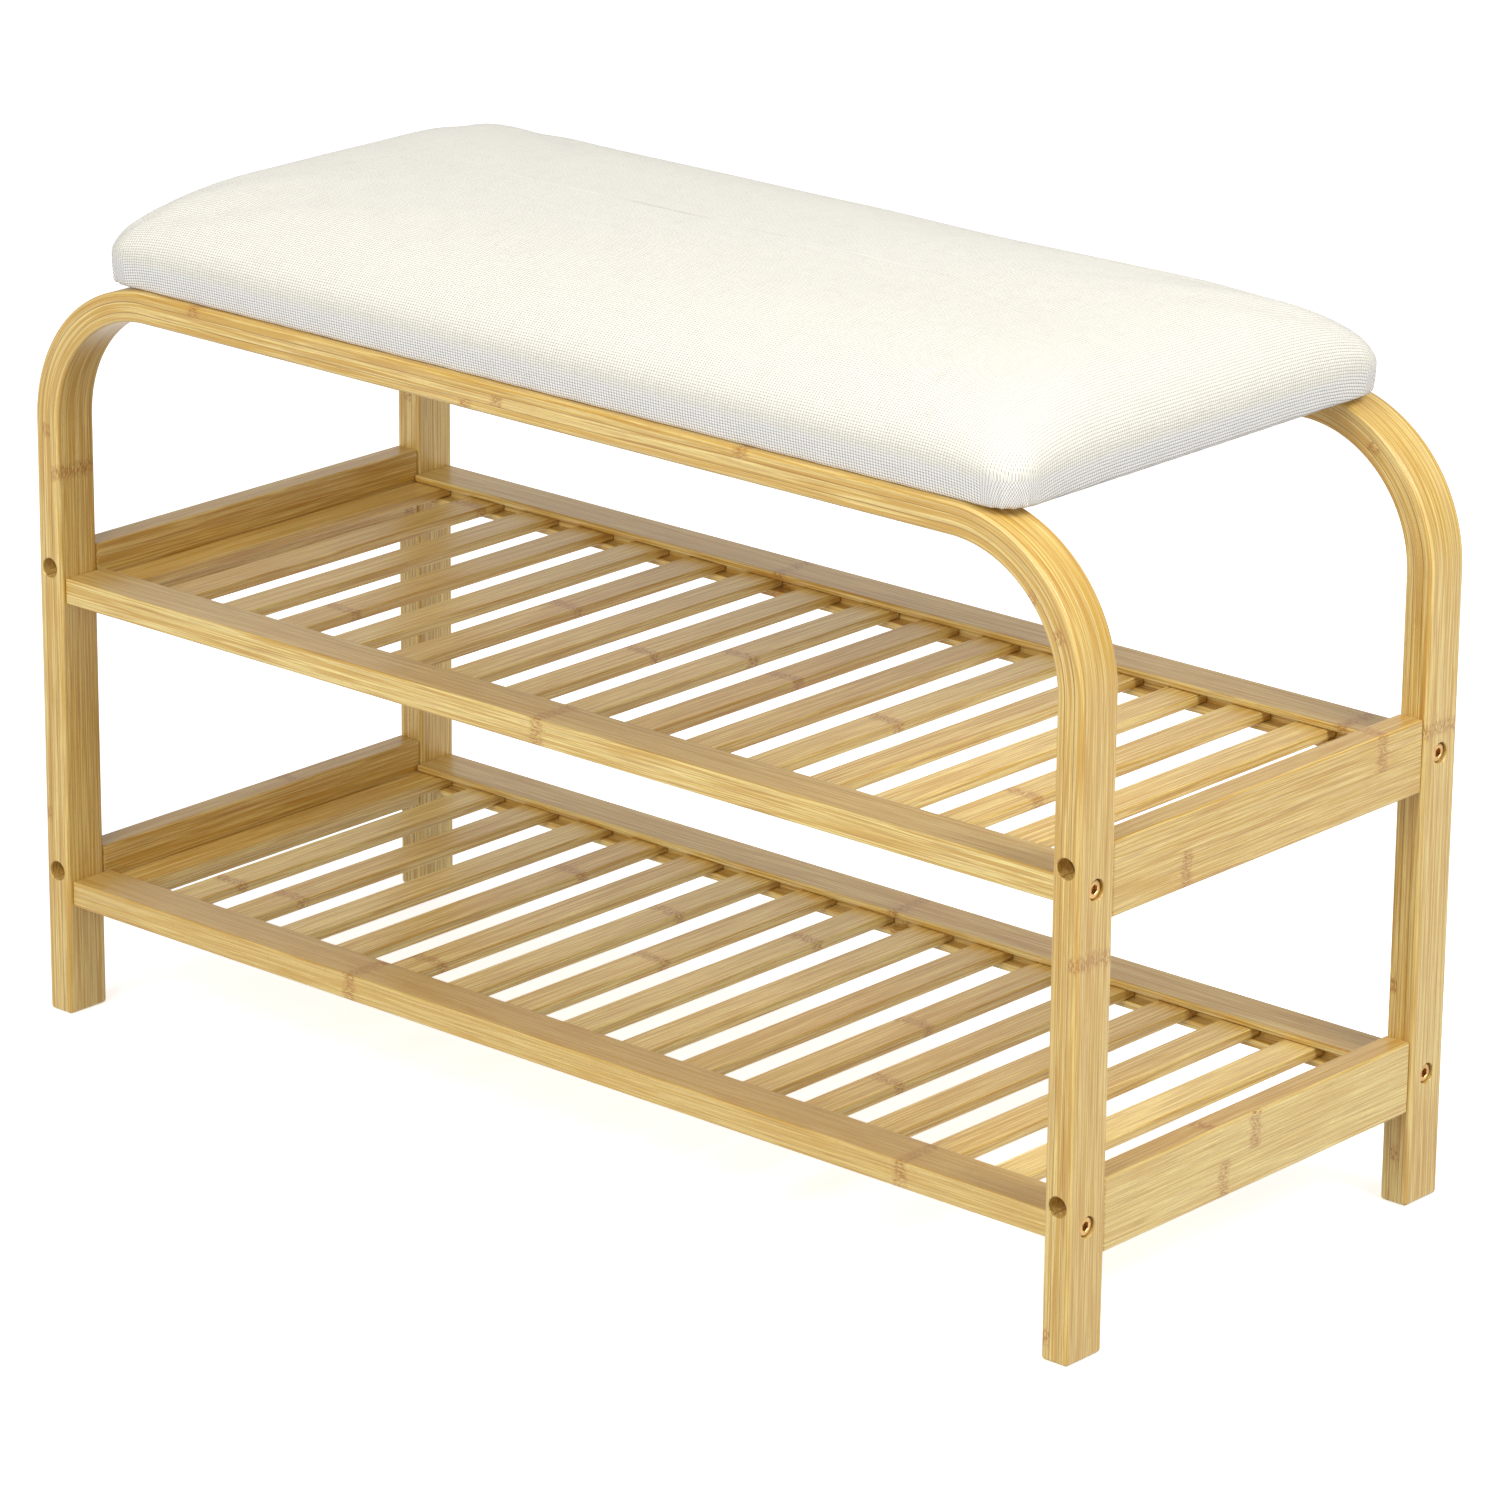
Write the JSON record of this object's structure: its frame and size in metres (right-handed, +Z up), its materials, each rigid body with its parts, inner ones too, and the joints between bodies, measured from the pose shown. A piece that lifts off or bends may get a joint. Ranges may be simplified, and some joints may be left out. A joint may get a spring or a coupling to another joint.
{
  "type": "entryway bench",
  "caption": "Upholstered shoe bench: a padded seat on two bent bamboo hoops, with slatted shelves held in grooved rails below it.",
  "frame": {"origin": "centre of the footprint on the floor", "axes": "+X to the sitter's left along the bench's length, -Y to the front, +Z up"},
  "size_m": [0.7, 0.295, 0.464],
  "materials": {
    "bamboo_hoop": "satin lacquered bent bamboo, laminations showing on the side faces",
    "bamboo_rail": "satin lacquered bamboo",
    "bamboo_end_rail": "satin lacquered bamboo",
    "bamboo_slat": "satin lacquered bamboo",
    "seat_plywood": "raw plywood",
    "seat_foam": "open-cell foam",
    "seat_fabric": "plain-weave off-white linen look",
    "bolt_zinc": "yellow zinc plated steel"
  },
  "bodies": {
    "root": {"hoop_front": "bamboo_hoop", "hoop_back": "bamboo_hoop", "rail_lower_front": "bamboo_rail", "rail_lower_back": "bamboo_rail", "end_rail_lower_right": "bamboo_end_rail", "end_rail_lower_left": "bamboo_end_rail", "rail_upper_front": "bamboo_rail", "rail_upper_back": "bamboo_rail", "end_rail_upper_right": "bamboo_end_rail", "end_rail_upper_left": "bamboo_end_rail", "slat_lower_01": "bamboo_slat", "slat_lower_02": "bamboo_slat", "slat_lower_03": "bamboo_slat", "slat_lower_04": "bamboo_slat", "slat_lower_05": "bamboo_slat", "slat_lower_06": "bamboo_slat", "slat_lower_07": "bamboo_slat", "slat_lower_08": "bamboo_slat", "slat_lower_09": "bamboo_slat", "slat_lower_10": "bamboo_slat", "slat_lower_11": "bamboo_slat", "slat_lower_12": "bamboo_slat", "slat_lower_13": "bamboo_slat", "slat_lower_14": "bamboo_slat", "slat_lower_15": "bamboo_slat", "slat_lower_16": "bamboo_slat", "slat_lower_17": "bamboo_slat", "slat_upper_01": "bamboo_slat", "slat_upper_02": "bamboo_slat", "slat_upper_03": "bamboo_slat", "slat_upper_04": "bamboo_slat", "slat_upper_05": "bamboo_slat", "slat_upper_06": "bamboo_slat", "slat_upper_07": "bamboo_slat", "slat_upper_08": "bamboo_slat", "slat_upper_09": "bamboo_slat", "slat_upper_10": "bamboo_slat", "slat_upper_11": "bamboo_slat", "slat_upper_12": "bamboo_slat", "slat_upper_13": "bamboo_slat", "slat_upper_14": "bamboo_slat", "slat_upper_15": "bamboo_slat", "slat_upper_16": "bamboo_slat", "slat_upper_17": "bamboo_slat", "seat_board": "seat_plywood", "seat_foam": "seat_foam", "seat_cover": "seat_fabric", "rail_bolt_lower_front_left": "bolt_zinc", "rail_bolt_upper_front_left": "bolt_zinc", "seat_bolt_front_left": "bolt_zinc", "rail_bolt_lower_back_left": "bolt_zinc", "rail_bolt_upper_back_left": "bolt_zinc", "seat_bolt_back_left": "bolt_zinc", "rail_bolt_lower_front_right": "bolt_zinc", "rail_bolt_upper_front_right": "bolt_zinc", "seat_bolt_front_right": "bolt_zinc", "rail_bolt_lower_back_right": "bolt_zinc", "rail_bolt_upper_back_right": "bolt_zinc", "seat_bolt_back_right": "bolt_zinc"}
  },
  "joints": []
}
